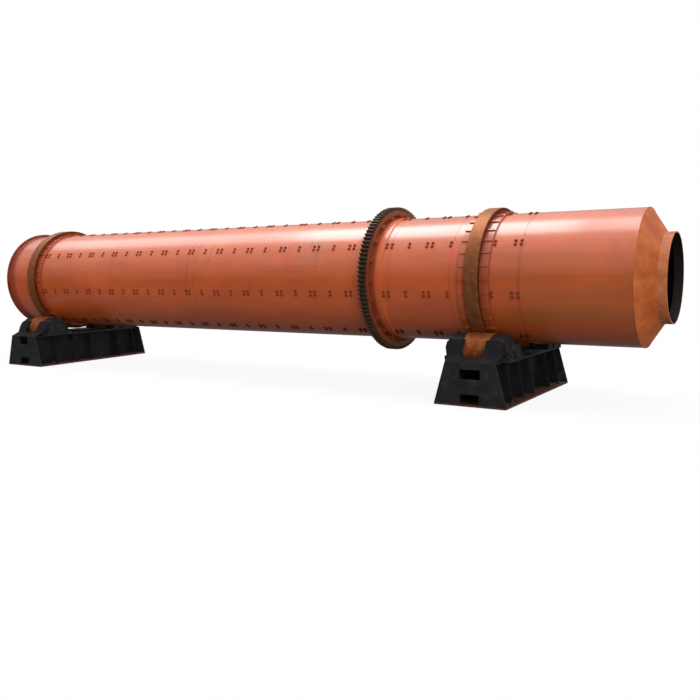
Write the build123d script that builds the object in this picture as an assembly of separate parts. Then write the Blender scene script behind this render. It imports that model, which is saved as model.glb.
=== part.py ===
"""Rotary cooler: a steel drum on two riding rings, four rollers and two welded bases.

X runs along the drum from the flanged end to the coned end, Z is up, and the origin lies
on the floor below the middle of the drum. All lengths are in millimetres.
"""

import os
from math import acos, cos, pi, radians, sin, sqrt, tan

from build123d import *

# Drum shell
DRUM_LENGTH = 15300.0
AXIS_HEIGHT = 2000.0
SHELL_RADIUS = 1100.0
SHELL_WALL = 16.0
STAVE_COUNT = 8
STAVE_TURN = 35.3
CONE_LENGTH = 249.0
CONE_WALL = 16.0
NECK_LENGTH = 144.0
NECK_RADIUS = 715.0
NECK_WALL = 16.0

# Flanged end
FLANGE_HEIGHT = 65.0
FLANGE_THICKNESS = 30.0
FLANGE_BOLT_HEIGHT = 36.0
FLANGE_BOLT_HOLE_RADIUS = 13.0
FLANGE_BOLT_COUNT = 12
END_PLATE_THICKNESS = 20.0
END_PLATE_BORE_RADIUS = 715.0

# Lifting flights inside the shell
FLIGHT_ROWS = 8
FLIGHT_ROW_ANGLE = 32.2
FLIGHT_START = 1270.0
FLIGHT_LENGTH = 11930.0
FLIGHT_FOOT_WIDTH = 160.0
FLIGHT_HEIGHT = 200.0
FLIGHT_LIP_WIDTH = 90.0
FLIGHT_LIP_ANGLE = 110.0
FLIGHT_THICKNESS = 10.0

# Riding rings
LEFT_TYRE_POSITION = 993.0
TYRE_SPAN = 11414.0
TYRE_THICKNESS = 85.0
TYRE_WIDTH = 240.0
TYRE_EDGE_CHAMFER = 8.0
SEAT_OVERHANG = 148.0
SEAT_THICKNESS = 29.7
SEAT_CLEARANCE = 0.3
STOP_COUNT = 32
STOP_LENGTH = 140.0
STOP_THICKNESS = 24.0
STOP_HEIGHT = 22.0

# Girth gear
GEAR_POSITION = 10404.0
GEAR_MODULE = 25.0
GEAR_PRESSURE_ANGLE = 20.0
GEAR_FACE_WIDTH = 150.0
GEAR_RIM_STANDOFF = 75.0
GEAR_RIM_THICKNESS = 93.75
GEAR_SEAT_LENGTH = 560.0
GEAR_SEAT_THICKNESS = 22.0
GEAR_LUG_COUNT = 20
GEAR_LUG_WIDTH = 96.0
GEAR_LUG_LENGTH = 110.0
GEAR_LUG_CLEARANCE = 0.3

# Rollers
ROLLER_RADIUS = 270.0
ROLLER_WIDTH = 440.0
ROLLER_HUB_RADIUS = 140.0
ROLLER_HUB_LENGTH = 12.0
ROLLER_RECESS_DEPTH = 25.0
ROLLER_RIM_THICKNESS = 45.0
ROLLER_ANGLE = 40.0
ROLLER_OFFSET = 100.0
ROLLING_GAP = 0.3
SHAFT_RADIUS = 80.0
SHAFT_CLEARANCE = 0.08

# Bearing housings
HOUSING_GAP = 25.0
HOUSING_RADIUS = 250.0
HOUSING_AXIS_HEIGHT = 127.0
HOUSING_FOOT_HALF_WIDTH = 300.0
HOUSING_FOOT_HEIGHT = 40.0
LEFT_HOUSING_LENGTH = 255.0
LEFT_HOUSING_BEVEL = 45.0
RIGHT_HOUSING_LENGTH = 360.0
RIGHT_HOUSING_SLOPE = 180.0
RIGHT_HOUSING_SIDE_HEIGHT = 40.0
CAP_RADIUS = 115.0
CAP_INSET = 70.0
CAP_REACH = 24.0
SHAFT_END_GAP = 10.0

# Welded bases
BASE_OFFSET = 160.0
BASE_END_REACH = 645.0
BASE_BOTTOM_WIDTH = 1230.0
BASE_PLATE_THICKNESS = 30.0
TOP_PLATE_THICKNESS = 35.0
TOP_PLATE_WIDTH = 1120.0
TOP_PLATE_END_REACH = 365.0
TOP_LIP_HEIGHT = 30.0
TOP_LIP_THICKNESS = 30.0
DECK_THICKNESS = 20.0
DECK_WIDTH = 800.0
END_WALL_TOP_WIDTH = 860.0
END_WALL_THICKNESS = 30.0
WINDOW_WIDTH = 360.0
WINDOW_HEIGHT = 155.0
WINDOW_SILL = 440.0
SLOT_WIDTH = 300.0
SLOT_SILL = 510.0
LOW_WINDOW_WIDTH = 330.0
LOW_WINDOW_HEIGHT = 165.0
WEB_SPACING = 550.0
WEB_THICKNESS = 24.0
NEAR_OUTER_RIB = 1020.0
NEAR_INNER_RIB = 500.0
FAR_INNER_RIB = 840.0
FAR_OUTER_RIB = 1370.0
RIB_THICKNESS = 20.0
RIB_FOOT_REACH = 515.0
RIB_TOP_REACH = 385.0
PIT_CLEARANCE = 15.0
ANCHOR_HOLE_RADIUS = 18.0
ANCHOR_SPACING_X = 1120.0
ANCHOR_SPACING_Y = 2400.0

# Places worked out from the sizes above
LEFT_END = -DRUM_LENGTH / 2
RIGHT_END = DRUM_LENGTH / 2
NECK_START = RIGHT_END - NECK_LENGTH
CONE_START = NECK_START - CONE_LENGTH
FLANGE_START = LEFT_END + END_PLATE_THICKNESS
SHELL_START = FLANGE_START
SHELL_BORE_RADIUS = SHELL_RADIUS - SHELL_WALL
FLANGE_RADIUS = SHELL_RADIUS + FLANGE_HEIGHT
FLANGE_BOLT_CIRCLE_RADIUS = SHELL_RADIUS + FLANGE_BOLT_HEIGHT
SEAT_RADIUS = SHELL_RADIUS + SEAT_THICKNESS
TYRE_BORE_RADIUS = SEAT_RADIUS + SEAT_CLEARANCE
TYRE_RADIUS = TYRE_BORE_RADIUS + TYRE_THICKNESS
GEAR_RIM_BORE_RADIUS = SHELL_RADIUS + GEAR_RIM_STANDOFF
GEAR_ROOT_RADIUS = GEAR_RIM_BORE_RADIUS + GEAR_RIM_THICKNESS
GEAR_TEETH = round(2 * (GEAR_ROOT_RADIUS / GEAR_MODULE + 1.25))
LEFT_TYRE_X = LEFT_END + LEFT_TYRE_POSITION
RIGHT_TYRE_X = LEFT_TYRE_X + TYRE_SPAN
GEAR_X = LEFT_END + GEAR_POSITION
ROLLER_DISTANCE = TYRE_RADIUS + ROLLING_GAP + ROLLER_RADIUS
ROLLER_Y = ROLLER_DISTANCE * sin(radians(ROLLER_ANGLE))
ROLLER_Z = AXIS_HEIGHT - ROLLER_DISTANCE * cos(radians(ROLLER_ANGLE))
BASE_TOP_HEIGHT = ROLLER_Z - HOUSING_AXIS_HEIGHT
END_WALL_HEIGHT = BASE_TOP_HEIGHT - TOP_PLATE_THICKNESS
BASE_LENGTH = 2 * (ROLLER_Y + BASE_END_REACH)
BASE_INSIDE_LENGTH = BASE_LENGTH - 2 * END_WALL_THICKNESS
HOUSING_TOP_HEIGHT = HOUSING_AXIS_HEIGHT + HOUSING_RADIUS
AXIS_PLACE = Pos(0, 0, AXIS_HEIGHT)


def cylinder_along_x(start, end, radius):
    """Solid cylinder about the X axis."""
    return extrude(Plane.YZ.offset(start) * Circle(radius), end - start)


def tube_along_x(start, end, outer, inner):
    """Tube about the X axis."""
    section = Circle(outer) - Circle(inner)
    return extrude(Plane.YZ.offset(start) * section, end - start)


def turned(shape, angle):
    """Copy of a shape turned about the X axis."""
    return Rot(angle, 0, 0) * shape


def block(x_range, y_range, z_range):
    """Plain box between two corners."""
    size = [high - low for low, high in (x_range, y_range, z_range)]
    middle = [(high + low) / 2 for low, high in (x_range, y_range, z_range)]
    return Pos(*middle) * Box(*size)


def xz_plate(points, y_start, thickness):
    """Plate whose outline lies in the XZ plane."""
    outline = make_face(Plane.XZ * Polyline(*points, close=True))
    return Pos(0, y_start, 0) * extrude(outline, thickness, dir=(0, 1, 0))


def yz_plate(face, x_start, length):
    """Prism along X from a face drawn in the YZ plane."""
    return extrude(Plane.YZ.offset(x_start) * face, length, dir=(1, 0, 0))


def make_staves():
    """Shell wall, divided lengthwise into equal staves that meet edge to edge."""
    turn = 360.0 / STAVE_COUNT
    wall = Plane.XZ * Pos(
        (SHELL_START + CONE_START) / 2, (SHELL_RADIUS + SHELL_BORE_RADIUS) / 2
    ) * Rectangle(CONE_START - SHELL_START, SHELL_WALL)
    stave = revolve(wall, Axis.X, turn)
    return {
        f"shell_stave_{index + 1}": AXIS_PLACE * turned(stave, STAVE_TURN + index * turn)
        for index in range(STAVE_COUNT)
    }


def make_cone():
    """Cone between the shell and the neck."""
    outline = Polyline(
        (CONE_START, SHELL_RADIUS),
        (NECK_START, NECK_RADIUS),
        (NECK_START, NECK_RADIUS - CONE_WALL),
        (CONE_START, SHELL_RADIUS - CONE_WALL),
        close=True,
    )
    return AXIS_PLACE * revolve(make_face(Plane.XZ * outline), Axis.X)


def make_neck():
    """Short tube that closes in the coned end."""
    return AXIS_PLACE * tube_along_x(NECK_START, RIGHT_END, NECK_RADIUS, NECK_RADIUS - NECK_WALL)


def flange_holes(start, end):
    """Bolt holes shared by the shell flange and the end plate."""
    hole = cylinder_along_x(start, end, FLANGE_BOLT_HOLE_RADIUS)
    place = Pos(0, 0, FLANGE_BOLT_CIRCLE_RADIUS)
    return [
        turned(place * hole, index * 360.0 / FLANGE_BOLT_COUNT)
        for index in range(FLANGE_BOLT_COUNT)
    ]


def make_flange():
    """Flange ring round the left end of the shell."""
    end = FLANGE_START + FLANGE_THICKNESS
    ring = tube_along_x(FLANGE_START, end, FLANGE_RADIUS, SHELL_RADIUS)
    return AXIS_PLACE * (ring - flange_holes(FLANGE_START, end))


def make_end_plate():
    """Annular plate bolted to the flange, with the opening of the left end."""
    plate = tube_along_x(LEFT_END, FLANGE_START, FLANGE_RADIUS, END_PLATE_BORE_RADIUS)
    return AXIS_PLACE * (plate - flange_holes(LEFT_END, FLANGE_START))


def make_flights():
    """Rows of angled lifting flights fixed to the inside of the shell."""
    start = LEFT_END + FLIGHT_START
    half = FLIGHT_FOOT_WIDTH / 2
    back = sqrt(SHELL_BORE_RADIUS**2 - half**2) - FLIGHT_THICKNESS
    tip = SHELL_BORE_RADIUS - FLIGHT_HEIGHT
    lean = radians(180.0 - FLIGHT_LIP_ANGLE)
    lip_end = (FLIGHT_LIP_WIDTH * sin(lean), tip + FLIGHT_LIP_WIDTH * cos(lean))
    lip_back = (lip_end[0] - FLIGHT_THICKNESS * cos(lean), lip_end[1] + FLIGHT_THICKNESS * sin(lean))
    outline = Polyline(
        (-half, SHELL_RADIUS),
        (half, SHELL_RADIUS),
        (half, back),
        (FLIGHT_THICKNESS, back),
        (FLIGHT_THICKNESS, tip + FLIGHT_THICKNESS / sin(lean) + FLIGHT_THICKNESS / tan(lean)),
        lip_back,
        lip_end,
        (0, tip),
        (0, back),
        (-half, back),
        close=True,
    )
    section = make_face(outline) & Circle(SHELL_BORE_RADIUS)
    flight = yz_plate(section, start, FLIGHT_LENGTH)
    first = 90.0 - FLIGHT_ROW_ANGLE
    rows = [turned(flight, first + index * 360.0 / FLIGHT_ROWS) for index in range(FLIGHT_ROWS)]
    return AXIS_PLACE * Compound(children=rows)


def make_tyre(centre):
    """Riding ring with chamfered edges."""
    half = TYRE_WIDTH / 2
    edge = TYRE_EDGE_CHAMFER
    outline = Polyline(
        (centre - half, TYRE_BORE_RADIUS),
        (centre - half, TYRE_RADIUS - edge),
        (centre - half + edge, TYRE_RADIUS),
        (centre + half - edge, TYRE_RADIUS),
        (centre + half, TYRE_RADIUS - edge),
        (centre + half, TYRE_BORE_RADIUS),
        close=True,
    )
    return AXIS_PLACE * revolve(make_face(Plane.XZ * outline), Axis.X)


def make_tyre_seat(centre):
    """Seat ring under a riding ring, with the stop blocks that hold the ring sideways."""
    half = TYRE_WIDTH / 2
    reach = half + SEAT_OVERHANG
    seat = tube_along_x(centre - reach, centre + reach, SEAT_RADIUS, SHELL_RADIUS)
    root = SHELL_RADIUS + (SEAT_RADIUS - SHELL_RADIUS) / 2
    top = TYRE_BORE_RADIUS + STOP_HEIGHT
    width = (-STOP_THICKNESS / 2, STOP_THICKNESS / 2)
    left_stop = block((centre - half - STOP_LENGTH, centre - half), width, (root, top))
    right_stop = block((centre + half, centre + half + STOP_LENGTH), width, (root, top))
    stops = []
    for index in range(STOP_COUNT):
        angle = index * 360.0 / STOP_COUNT
        stops += [turned(left_stop, angle), turned(right_stop, angle)]
    return AXIS_PLACE * (seat + stops)


def gear_outline():
    """Closed outline of the girth gear, with straight-line flanks through three radii."""
    pitch_radius = GEAR_MODULE * GEAR_TEETH / 2
    base_radius = pitch_radius * cos(radians(GEAR_PRESSURE_ANGLE))
    radii = (pitch_radius - 1.25 * GEAR_MODULE, pitch_radius, pitch_radius + GEAR_MODULE)

    def involute(radius):
        pressure = acos(min(1.0, base_radius / radius))
        return tan(pressure) - pressure

    half_at_pitch = pi / 2 / GEAR_TEETH
    flank = [
        (radius, half_at_pitch + involute(pitch_radius) - involute(radius)) for radius in radii
    ]
    points = []
    for tooth in range(GEAR_TEETH):
        middle = 2 * pi * tooth / GEAR_TEETH
        for radius, half in flank:
            points.append((radius * cos(middle - half), radius * sin(middle - half)))
        for radius, half in reversed(flank):
            points.append((radius * cos(middle + half), radius * sin(middle + half)))
    return make_face(Polyline(*points, close=True))


def make_gear():
    """Toothed rim of the girth gear."""
    rim = gear_outline() - Circle(GEAR_RIM_BORE_RADIUS)
    return AXIS_PLACE * yz_plate(rim, GEAR_X - GEAR_FACE_WIDTH / 2, GEAR_FACE_WIDTH)


def make_gear_seat():
    """Seat ring of the girth gear, with the lugs that carry its rim."""
    half = GEAR_SEAT_LENGTH / 2
    top = SHELL_RADIUS + GEAR_SEAT_THICKNESS
    seat = tube_along_x(GEAR_X - half, GEAR_X + half, top, SHELL_RADIUS)
    lug = block(
        (GEAR_X - GEAR_LUG_LENGTH / 2, GEAR_X + GEAR_LUG_LENGTH / 2),
        (-GEAR_LUG_WIDTH / 2, GEAR_LUG_WIDTH / 2),
        (SHELL_RADIUS + GEAR_SEAT_THICKNESS / 2, GEAR_RIM_BORE_RADIUS + GEAR_MODULE),
    )
    lugs = [turned(lug, index * 360.0 / GEAR_LUG_COUNT) for index in range(GEAR_LUG_COUNT)]
    inside_rim = cylinder_along_x(GEAR_X - half, GEAR_X + half, GEAR_RIM_BORE_RADIUS - GEAR_LUG_CLEARANCE)
    return AXIS_PLACE * ((seat + lugs) & inside_rim)


def make_roller(place):
    """Roller with a recessed web on each side and a raised hub."""
    half = ROLLER_WIDTH / 2
    roller = cylinder_along_x(-half, half, ROLLER_RADIUS)
    inner = ROLLER_RADIUS - ROLLER_RIM_THICKNESS
    recess = half - ROLLER_RECESS_DEPTH
    roller -= tube_along_x(recess, half, inner, ROLLER_HUB_RADIUS)
    roller -= tube_along_x(-half, -recess, inner, ROLLER_HUB_RADIUS)
    roller += cylinder_along_x(-half - ROLLER_HUB_LENGTH, half + ROLLER_HUB_LENGTH, ROLLER_HUB_RADIUS)
    roller -= cylinder_along_x(-half - ROLLER_HUB_LENGTH, half + ROLLER_HUB_LENGTH, SHAFT_RADIUS)
    return place * roller


def housing_faces():
    """Inner and outer faces of the left and right housings, from the middle of the roller."""
    inner = ROLLER_WIDTH / 2 + HOUSING_GAP
    return (-inner, -inner - LEFT_HOUSING_LENGTH), (inner, inner + RIGHT_HOUSING_LENGTH)


def make_shaft(place):
    """Roller shaft, from one bearing housing to the other."""
    left, right = housing_faces()
    start = left[1] + CAP_INSET + SHAFT_END_GAP
    end = right[1] - CAP_INSET - SHAFT_END_GAP
    return place * cylinder_along_x(start, end, SHAFT_RADIUS)


def housing_section():
    """Arch of a bearing housing with its foot, drawn about the shaft axis."""
    low = -HOUSING_AXIS_HEIGHT
    foot = Pos(0, low + HOUSING_FOOT_HEIGHT / 2) * Rectangle(
        2 * HOUSING_FOOT_HALF_WIDTH, HOUSING_FOOT_HEIGHT
    )
    body = Pos(0, low / 2) * Rectangle(2 * HOUSING_RADIUS, HOUSING_AXIS_HEIGHT)
    above_plate = Pos(0, low + HOUSING_TOP_HEIGHT / 2) * Rectangle(
        2 * HOUSING_RADIUS, HOUSING_TOP_HEIGHT
    )
    return (Circle(HOUSING_RADIUS) & above_plate) + body + foot


def housing_side(inner, outer, slope, side_height):
    """Prism across the housing that gives it its sloping outer side, as seen from the front."""
    low = -HOUSING_AXIS_HEIGHT
    step = slope if outer > inner else -slope
    outline = [
        (inner, low),
        (inner, HOUSING_RADIUS),
        (outer - step, HOUSING_RADIUS),
        (outer, low + side_height),
        (outer, low),
    ]
    return xz_plate(outline, -HOUSING_FOOT_HALF_WIDTH, 2 * HOUSING_FOOT_HALF_WIDTH)


def cap_seat(outer, direction):
    """Cylinder of an end cover, set into the outer face of a housing."""
    inset = outer - direction * CAP_INSET
    reach = outer + direction * CAP_REACH
    return cylinder_along_x(min(inset, reach), max(inset, reach), CAP_RADIUS)


def make_housings(places):
    """The bearing housings of one base, with a steep left side and a sloping right side."""
    (left_inner, left_outer), (right_inner, right_outer) = housing_faces()
    arch = yz_plate(housing_section(), left_outer, right_outer - left_outer)
    arch -= cylinder_along_x(left_outer, right_outer, SHAFT_RADIUS + SHAFT_CLEARANCE)
    left = arch & housing_side(
        left_inner, left_outer, LEFT_HOUSING_BEVEL, HOUSING_TOP_HEIGHT - LEFT_HOUSING_BEVEL
    )
    right = arch & housing_side(
        right_inner, right_outer, RIGHT_HOUSING_SLOPE, RIGHT_HOUSING_SIDE_HEIGHT
    )
    pair = [left - cap_seat(left_outer, -1), right - cap_seat(right_outer, 1)]
    return Compound(children=[place * housing for place in places for housing in pair])


def make_caps(places):
    """End covers of the bearing housings."""
    (_, left_outer), (_, right_outer) = housing_faces()
    pair = [cap_seat(left_outer, -1), cap_seat(right_outer, 1)]
    return Compound(children=[place * cap for place in places for cap in pair])


def make_bottom_plate(centre):
    """Bottom plate of a base, with its anchor holes."""
    half_width = BASE_BOTTOM_WIDTH / 2
    half_length = BASE_LENGTH / 2
    plate = block(
        (centre - half_width, centre + half_width),
        (-half_length, half_length),
        (0, BASE_PLATE_THICKNESS),
    )
    hole = Pos(0, 0, BASE_PLATE_THICKNESS / 2) * Cylinder(ANCHOR_HOLE_RADIUS, BASE_PLATE_THICKNESS)
    for side in (-1, 1):
        for end in (-1, 1):
            x = centre + side * ANCHOR_SPACING_X / 2
            plate -= Pos(x, end * ANCHOR_SPACING_Y / 2, 0) * hole
    return plate


def make_end_walls(centre, slotted):
    """Sloping-sided plates that close the ends of a base, each with two windows.

    The upper window of a slotted base is open at the top.
    """
    foot = BASE_BOTTOM_WIDTH / 2
    top = END_WALL_TOP_WIDTH / 2
    outline = [
        (centre - foot, BASE_PLATE_THICKNESS),
        (centre + foot, BASE_PLATE_THICKNESS),
        (centre + top, END_WALL_HEIGHT),
        (centre - top, END_WALL_HEIGHT),
    ]
    across = (-BASE_LENGTH, BASE_LENGTH)
    half = (SLOT_WIDTH if slotted else WINDOW_WIDTH) / 2
    sill = SLOT_SILL if slotted else WINDOW_SILL
    head = END_WALL_HEIGHT if slotted else WINDOW_SILL + WINDOW_HEIGHT
    window = block((centre - half, centre + half), across, (sill, head))
    low_window = block(
        (centre - LOW_WINDOW_WIDTH / 2, centre + LOW_WINDOW_WIDTH / 2),
        across,
        (BASE_PLATE_THICKNESS, BASE_PLATE_THICKNESS + LOW_WINDOW_HEIGHT),
    )
    near = xz_plate(outline, -BASE_LENGTH / 2, END_WALL_THICKNESS)
    far = xz_plate(outline, BASE_LENGTH / 2 - END_WALL_THICKNESS, END_WALL_THICKNESS)
    return Compound(children=[wall - window - low_window for wall in (near, far)])


def roller_pits(roller_x):
    """Boxes round the rollers, cut from the parts of a base that they dip into."""
    reach_x = ROLLER_WIDTH / 2 + PIT_CLEARANCE
    reach_y = ROLLER_RADIUS + PIT_CLEARANCE
    bottom = ROLLER_Z - ROLLER_RADIUS - PIT_CLEARANCE
    return [
        block(
            (roller_x - reach_x, roller_x + reach_x),
            (middle - reach_y, middle + reach_y),
            (bottom, ROLLER_Z),
        )
        for middle in (-ROLLER_Y, ROLLER_Y)
    ]


def make_webs(centre, roller_x):
    """The two long webs of a base, notched where a roller comes down beside them."""
    half = BASE_INSIDE_LENGTH / 2
    height = (BASE_PLATE_THICKNESS, END_WALL_HEIGHT - DECK_THICKNESS)
    webs = []
    for side in (-1, 1):
        x = centre + side * WEB_SPACING / 2
        web = block((x - WEB_THICKNESS / 2, x + WEB_THICKNESS / 2), (-half, half), height)
        webs.append(web - roller_pits(roller_x))
    return Compound(children=webs)


def make_ribs(centre):
    """Sloping ribs outside the webs of a base."""
    foot = BASE_PLATE_THICKNESS
    top = END_WALL_HEIGHT - DECK_THICKNESS
    inner = WEB_SPACING / 2 + WEB_THICKNESS / 2
    places = (-NEAR_OUTER_RIB, -NEAR_INNER_RIB, 0, FAR_INNER_RIB, FAR_OUTER_RIB)
    ribs = []
    for side in (-1, 1):
        outline = [
            (centre + side * inner, foot),
            (centre + side * RIB_FOOT_REACH, foot),
            (centre + side * RIB_TOP_REACH, top),
            (centre + side * inner, top),
        ]
        for place in places:
            ribs.append(xz_plate(outline, place - RIB_THICKNESS / 2, RIB_THICKNESS))
    return Compound(children=ribs)


def make_top_plate(centre, roller_x):
    """Deck of a base and the thick plate on it, with a lip in front of each roller pit."""
    half = BASE_INSIDE_LENGTH / 2
    reach = ROLLER_Y + TOP_PLATE_END_REACH
    across = (centre - TOP_PLATE_WIDTH / 2, centre + TOP_PLATE_WIDTH / 2)
    deck = block(
        (centre - DECK_WIDTH / 2, centre + DECK_WIDTH / 2),
        (-half, half),
        (END_WALL_HEIGHT - DECK_THICKNESS, END_WALL_HEIGHT),
    )
    plate = deck + block(across, (-reach, reach), (END_WALL_HEIGHT, BASE_TOP_HEIGHT))
    lip_top = BASE_TOP_HEIGHT + TOP_LIP_HEIGHT
    plate += block(across, (-reach, TOP_LIP_THICKNESS - reach), (END_WALL_HEIGHT, lip_top))
    plate += block(across, (reach - TOP_LIP_THICKNESS, reach), (END_WALL_HEIGHT, lip_top))
    return plate - roller_pits(roller_x)


def make_station(name, tyre_x):
    """Everything that belongs to one riding ring: ring, seat, rollers, bearings and base."""
    roller_x = tyre_x + ROLLER_OFFSET
    centre = tyre_x + BASE_OFFSET
    near = Pos(roller_x, -ROLLER_Y, ROLLER_Z)
    far = Pos(roller_x, ROLLER_Y, ROLLER_Z)
    return {
        f"{name}_tyre": make_tyre(tyre_x),
        f"{name}_tyre_seat": make_tyre_seat(tyre_x),
        f"{name}_near_roller": make_roller(near),
        f"{name}_near_shaft": make_shaft(near),
        f"{name}_far_roller": make_roller(far),
        f"{name}_far_shaft": make_shaft(far),
        f"{name}_bearing_housings": make_housings((near, far)),
        f"{name}_bearing_caps": make_caps((near, far)),
        f"{name}_bottom_plate": make_bottom_plate(centre),
        f"{name}_end_walls": make_end_walls(centre, slotted=name == "left"),
        f"{name}_webs": make_webs(centre, roller_x),
        f"{name}_ribs": make_ribs(centre),
        f"{name}_top_plate": make_top_plate(centre, roller_x),
    }


def make_cooler():
    """All named pieces of the cooler."""
    pieces = make_staves()
    pieces["cone"] = make_cone()
    pieces["neck"] = make_neck()
    pieces["flange"] = make_flange()
    pieces["end_plate"] = make_end_plate()
    pieces["lifting_flights"] = make_flights()
    pieces["girth_gear"] = make_gear()
    pieces["gear_seat"] = make_gear_seat()
    pieces.update(make_station("left", LEFT_TYRE_X))
    pieces.update(make_station("right", RIGHT_TYRE_X))
    return pieces


os.makedirs("parts", exist_ok=True)
for node, shape in make_cooler().items():
    export_step(shape, f"parts/{node}.step")
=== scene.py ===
"""Looks of the rotary cooler: finishes, bolts, weld seams, bearing guards and weathering."""

import math
import random

import bmesh
import bpy
from mathutils import Matrix, Vector


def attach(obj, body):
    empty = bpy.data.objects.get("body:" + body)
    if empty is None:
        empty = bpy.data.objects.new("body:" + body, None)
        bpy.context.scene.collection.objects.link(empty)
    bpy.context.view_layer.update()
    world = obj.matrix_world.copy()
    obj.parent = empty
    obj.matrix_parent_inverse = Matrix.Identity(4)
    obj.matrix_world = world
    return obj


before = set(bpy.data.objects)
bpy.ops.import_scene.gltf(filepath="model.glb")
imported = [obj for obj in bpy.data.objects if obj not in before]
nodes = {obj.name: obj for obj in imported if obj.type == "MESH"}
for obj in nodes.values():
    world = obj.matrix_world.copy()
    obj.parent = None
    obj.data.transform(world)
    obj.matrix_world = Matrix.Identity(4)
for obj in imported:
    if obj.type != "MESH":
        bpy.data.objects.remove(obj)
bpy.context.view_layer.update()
dice = random.Random(7)

AXIS_HEIGHT = 2.0
SHELL_RADIUS = 1.1

# Camera: place in metres, angles in degrees, lens and sensor in millimetres
CAMERA_PLACE = (9.777, -12.705, 2.226)
CAMERA_AZIMUTH = 32.528
CAMERA_ELEVATION = -6.1526
CAMERA_ROLL = -0.7286
CAMERA_LENS = 39.40
SENSOR_WIDTH = 36.0
VIEW_DEPTH = 500

# Overhead lamps: name, place along the drum, length, power
OVERHEAD_LAMPS = (
    ("overhead", -0.5, 9, 850),
    ("overhead_left", -11.5, 13, 430),
    ("overhead_right", 7.5, 6, 300),
)
OVERHEAD_Y = 1
OVERHEAD_HEIGHT = 11
OVERHEAD_WIDTH = 5

# Soft lights: name, point that the light comes from, strength
SOFT_LIGHTS = (
    ("front", (30, -26, 9), 3.6),
    ("back", (24, 30, 9), 2.2),
    ("left", (-30, -14, 19), 0.2),
)
SOFT_ANGLE = 60

# World and floor
SKY_LIGHT = 1.2
GROUND_LIGHT = 0.05
WHITE = (1, 1, 1, 1)
FLOOR_COLOUR = (0.65, 0.65, 0.65, 1)
FLOOR_CLEARNESS = 0.9
FLOOR_FADE_START = 8.5
FLOOR_FADE_END = 13.0
FLOOR_HALF_SIZE = 14
FLOOR_DROP = 0.002

# Least lean towards the drum axis, in metres, that makes a face an inside one
INWARD_LIMIT = 0.05

# Gloss of the finishes
COAT_ROUGHNESS = 0.22
COAT_IOR = 1.65
LOW_GLOSS = 0.2
MATT_GLOSS = 0.1

# Shades of each finish, from dark to light
SHELL_SHADES = ((0.35, 0.060, 0.012), (0.40, 0.071, 0.016), (0.45, 0.086, 0.022))
FLANGE_SHADES = ((0.07, 0.013, 0.006), (0.11, 0.019, 0.008), (0.17, 0.034, 0.013))
CONE_SHADES = ((0.20, 0.044, 0.012), (0.27, 0.062, 0.015), (0.34, 0.092, 0.024))
NECK_SHADES = ((0.26, 0.070, 0.026), (0.36, 0.115, 0.045), (0.46, 0.18, 0.08))
RING_FACE_SHADES = ((0.17, 0.056, 0.019), (0.25, 0.082, 0.028), (0.35, 0.135, 0.05))
RING_SIDE_SHADES = ((0.08, 0.018, 0.008), (0.13, 0.028, 0.012), (0.2, 0.055, 0.02))
TEETH_SHADES = ((0.024, 0.014, 0.009), (0.045, 0.024, 0.014), (0.10, 0.045, 0.022))
RIM_SHADES = ((0.09, 0.022, 0.009), (0.15, 0.036, 0.012), (0.22, 0.065, 0.020))
ROLLER_SHADES = ((0.10, 0.024, 0.007), (0.18, 0.046, 0.012), (0.29, 0.09, 0.024))
BLACK_SHADES = ((0.008, 0.008, 0.009), (0.013, 0.013, 0.014), (0.028, 0.027, 0.028))
# Black under grime and painted shade, on the webs, ribs and bearing guards
GRIME_AND_SHADE_TONES = ((0.005, 0.005, 0.005), (0.008, 0.008, 0.009), (0.014, 0.013, 0.013))
PLATE_SHADES = ((0.02, 0.009, 0.007), (0.055, 0.018, 0.012), (0.10, 0.035, 0.022))
FLIGHT_SHADES = ((0.06, 0.03, 0.02), (0.12, 0.06, 0.04), (0.2, 0.1, 0.06))
BOLT_SHADES = ((0.10, 0.018, 0.009), (0.17, 0.028, 0.012), (0.25, 0.047, 0.019))
FIXING_SHADES = ((0.015, 0.013, 0.012), (0.03, 0.026, 0.024), (0.08, 0.055, 0.045))

# Single colours laid over the shades
STAIN_COLOUR = (0.22, 0.042, 0.014)
WORN_COLOUR = (0.46, 0.13, 0.06)
BROWN_COLOUR = (0.24, 0.075, 0.016)
# Painted shade on the underside of the drum
UNDERSIDE_SHADE_COLOUR = (0.26, 0.046, 0.010)
SEAM_COLOUR = (0.22, 0.035, 0.013)
PALE_PATCH_COLOUR = (0.30, 0.12, 0.075)
RED_PATCH_COLOUR = (0.50, 0.046, 0.024)
# Painted shade on the shell beside the girth gear and beside each riding ring
GEAR_PAINTED_SHADE_COLOUR = (0.10, 0.018, 0.008)
RING_PAINTED_SHADE_COLOUR = (0.15, 0.025, 0.009)
# Stop blocks painted dark, partly as painted shade beside the riding rings
STOP_DARK_AND_SHADE_COLOUR = (0.07, 0.018, 0.010)
# Painted shade on the edges of the riding-ring seats
SEAT_EDGE_SHADE_COLOUR = (0.12, 0.022, 0.009)
FLANGE_STRIP_COLOUR = (0.16, 0.028, 0.010)
SCUFF_COLOUR = (0.15, 0.042, 0.018)
# Dusty brown inside the drum, darkened as painted shade
DRUM_INSIDE_DUST_AND_SHADE_COLOUR = (0.05, 0.022, 0.014)
# Painted shade inside the cone and the neck
MOUTH_INSIDE_SHADE_COLOUR = (0.012, 0.008, 0.008)
TURNING_MARK_COLOUR = (0.17, 0.056, 0.02)
# Painted shade on the bolt heads low on the drum
LOW_BOLT_SHADE_COLOUR = (0.045, 0.010, 0.006)

# Strengths of the marks on the shell paint
STAIN_STRENGTH = 0.4
WORN_STRENGTH = 0.3
BROWN_STRENGTH = 0.75
# Strength of the painted shade on the underside
UNDERSIDE_SHADE_STRENGTH = 0.4
PALE_PATCH_STRENGTH = 0.45
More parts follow.
